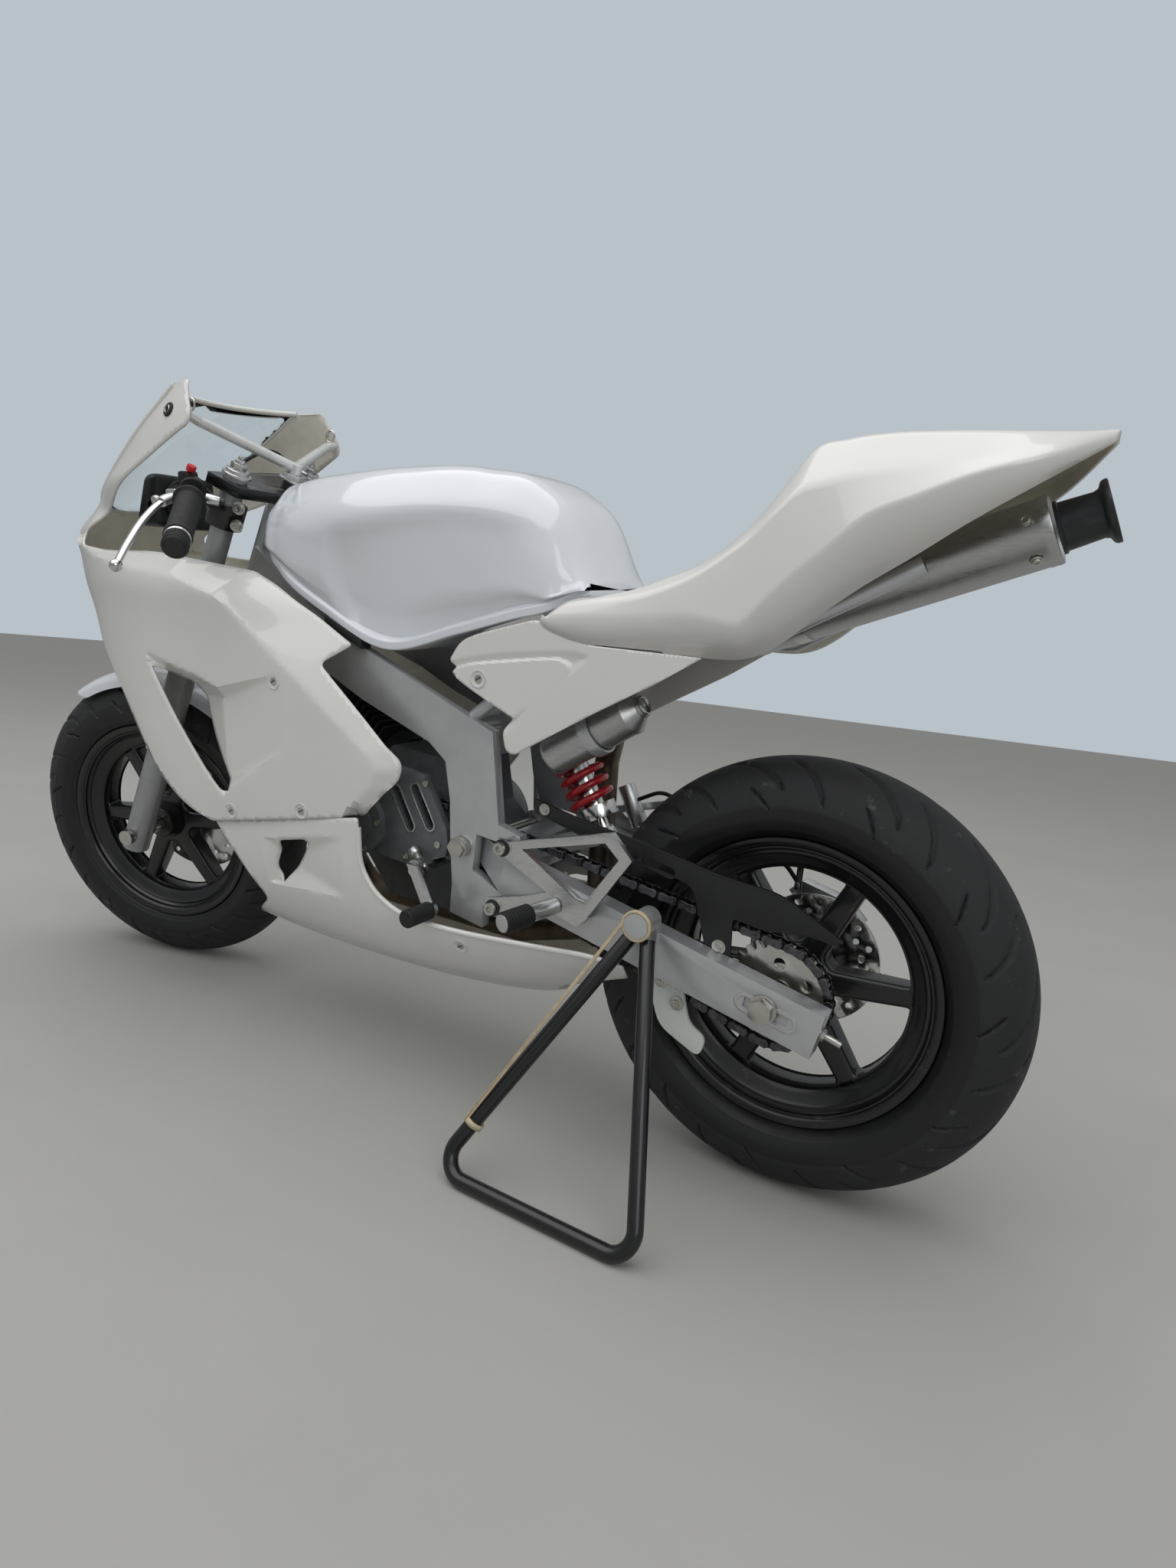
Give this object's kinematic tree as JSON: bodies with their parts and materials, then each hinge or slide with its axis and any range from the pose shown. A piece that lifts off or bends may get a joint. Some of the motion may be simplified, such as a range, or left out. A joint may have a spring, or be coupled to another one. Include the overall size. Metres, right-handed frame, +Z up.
{
  "type": "mini racing motorcycle",
  "caption": "Small racing motorcycle with a white full fairing, twin-spar frame, cast wheels and a removable triangular side stand; it leans to the left with the bars turned left.",
  "frame": {"origin": "middle of the footprint on the ground, under the whole machine as it parks", "axes": "+X forward, +Y to the machine's left, +Z up from the ground; the machine leans about 5 degrees to +Y"},
  "size_m": [1.5656, 0.5586, 0.907],
  "materials": {
    "bare_aluminium": "satin",
    "black_paint": "satin",
    "black_plastic": "matte",
    "black_rubber": "matte",
    "chain_steel": "satin",
    "clear_screen": "gloss",
    "engine_grey": "satin",
    "exhaust_steel": "satin",
    "fork_grey": "satin",
    "frame_silver": "satin",
    "pale_rubber": "matte",
    "spring_red": "gloss",
    "steel": "satin",
    "tank_white": "gloss",
    "tyre_rubber": "matte",
    "white_shell": "gloss",
    "zinc_steel": "satin"
  },
  "bodies": {
    "chassis": {"brake_pedal": "bare_aluminium", "carburettor": "bare_aluminium", "catch_tank": "steel", "chain": "chain_steel", "chain_guard": "black_plastic", "chain_guide": "white_shell", "cylinder": "engine_grey", "engine_case": "engine_grey", "exhaust_pipe": "exhaust_steel", "fairing_stay": "frame_silver", "frame_left": "frame_silver", "frame_right": "frame_silver", "head_tube": "frame_silver", "instrument": "black_plastic", "left_rearset": "bare_aluminium", "lower_fairing": "white_shell", "rear_axle": "zinc_steel", "rear_brake_hose": "black_rubber", "rear_caliper": "black_paint", "right_rearset": "bare_aluminium", "seat_cowl": "white_shell", "shift_lever": "bare_aluminium", "shock": "bare_aluminium", "side_cover_left": "white_shell", "side_cover_right": "white_shell", "silencer": "bare_aluminium", "silencer_outlet": "black_plastic", "spring": "spring_red", "sprocket_cover": "engine_grey", "stand": "black_paint", "stand_band": "pale_rubber", "subframe": "frame_silver", "swingarm_left": "frame_silver", "swingarm_pivot": "zinc_steel", "swingarm_right": "frame_silver", "tank": "tank_white", "upper_fairing": "white_shell", "windscreen": "clear_screen"},
    "steering": {"brake_lever": "bare_aluminium", "clutch_lever": "bare_aluminium", "fork_left": "fork_grey", "fork_right": "fork_grey", "front_axle": "zinc_steel", "front_brake_hose": "black_rubber", "front_caliper": "black_paint", "front_fender": "white_shell", "left_grip": "black_rubber", "left_handlebar": "black_paint", "lower_bridge": "black_paint", "right_grip": "black_rubber", "right_handlebar": "black_paint", "top_bridge": "black_paint"},
    "front_wheel": {"front_tyre": "tyre_rubber", "front_rim": "black_paint", "front_disc": "steel"},
    "rear_wheel": {"rear_tyre": "tyre_rubber", "rear_rim": "black_paint", "rear_sprocket": "zinc_steel", "rear_disc": "steel"}
  },
  "joints": [
    {"name": "steering", "type": "hinge", "parent": "chassis", "child": "steering", "pos_m": [0.30917, 0.00862, 0.69834], "axis": [-0.4067, 0.0804, 0.91], "range_deg": [-29.8, 0]},
    {"name": "front_wheel_spin", "type": "hinge", "parent": "steering", "child": "front_wheel", "pos_m": [0.54478, -0.02401, 0.24153], "axis": [-0.2349, 0.9534, -0.1892], "continuous": true},
    {"name": "rear_wheel_spin", "type": "hinge", "parent": "chassis", "child": "rear_wheel", "pos_m": [-0.5343, -0.03113, 0.2486], "axis": [0, 0.9961, -0.088], "continuous": true}
  ]
}
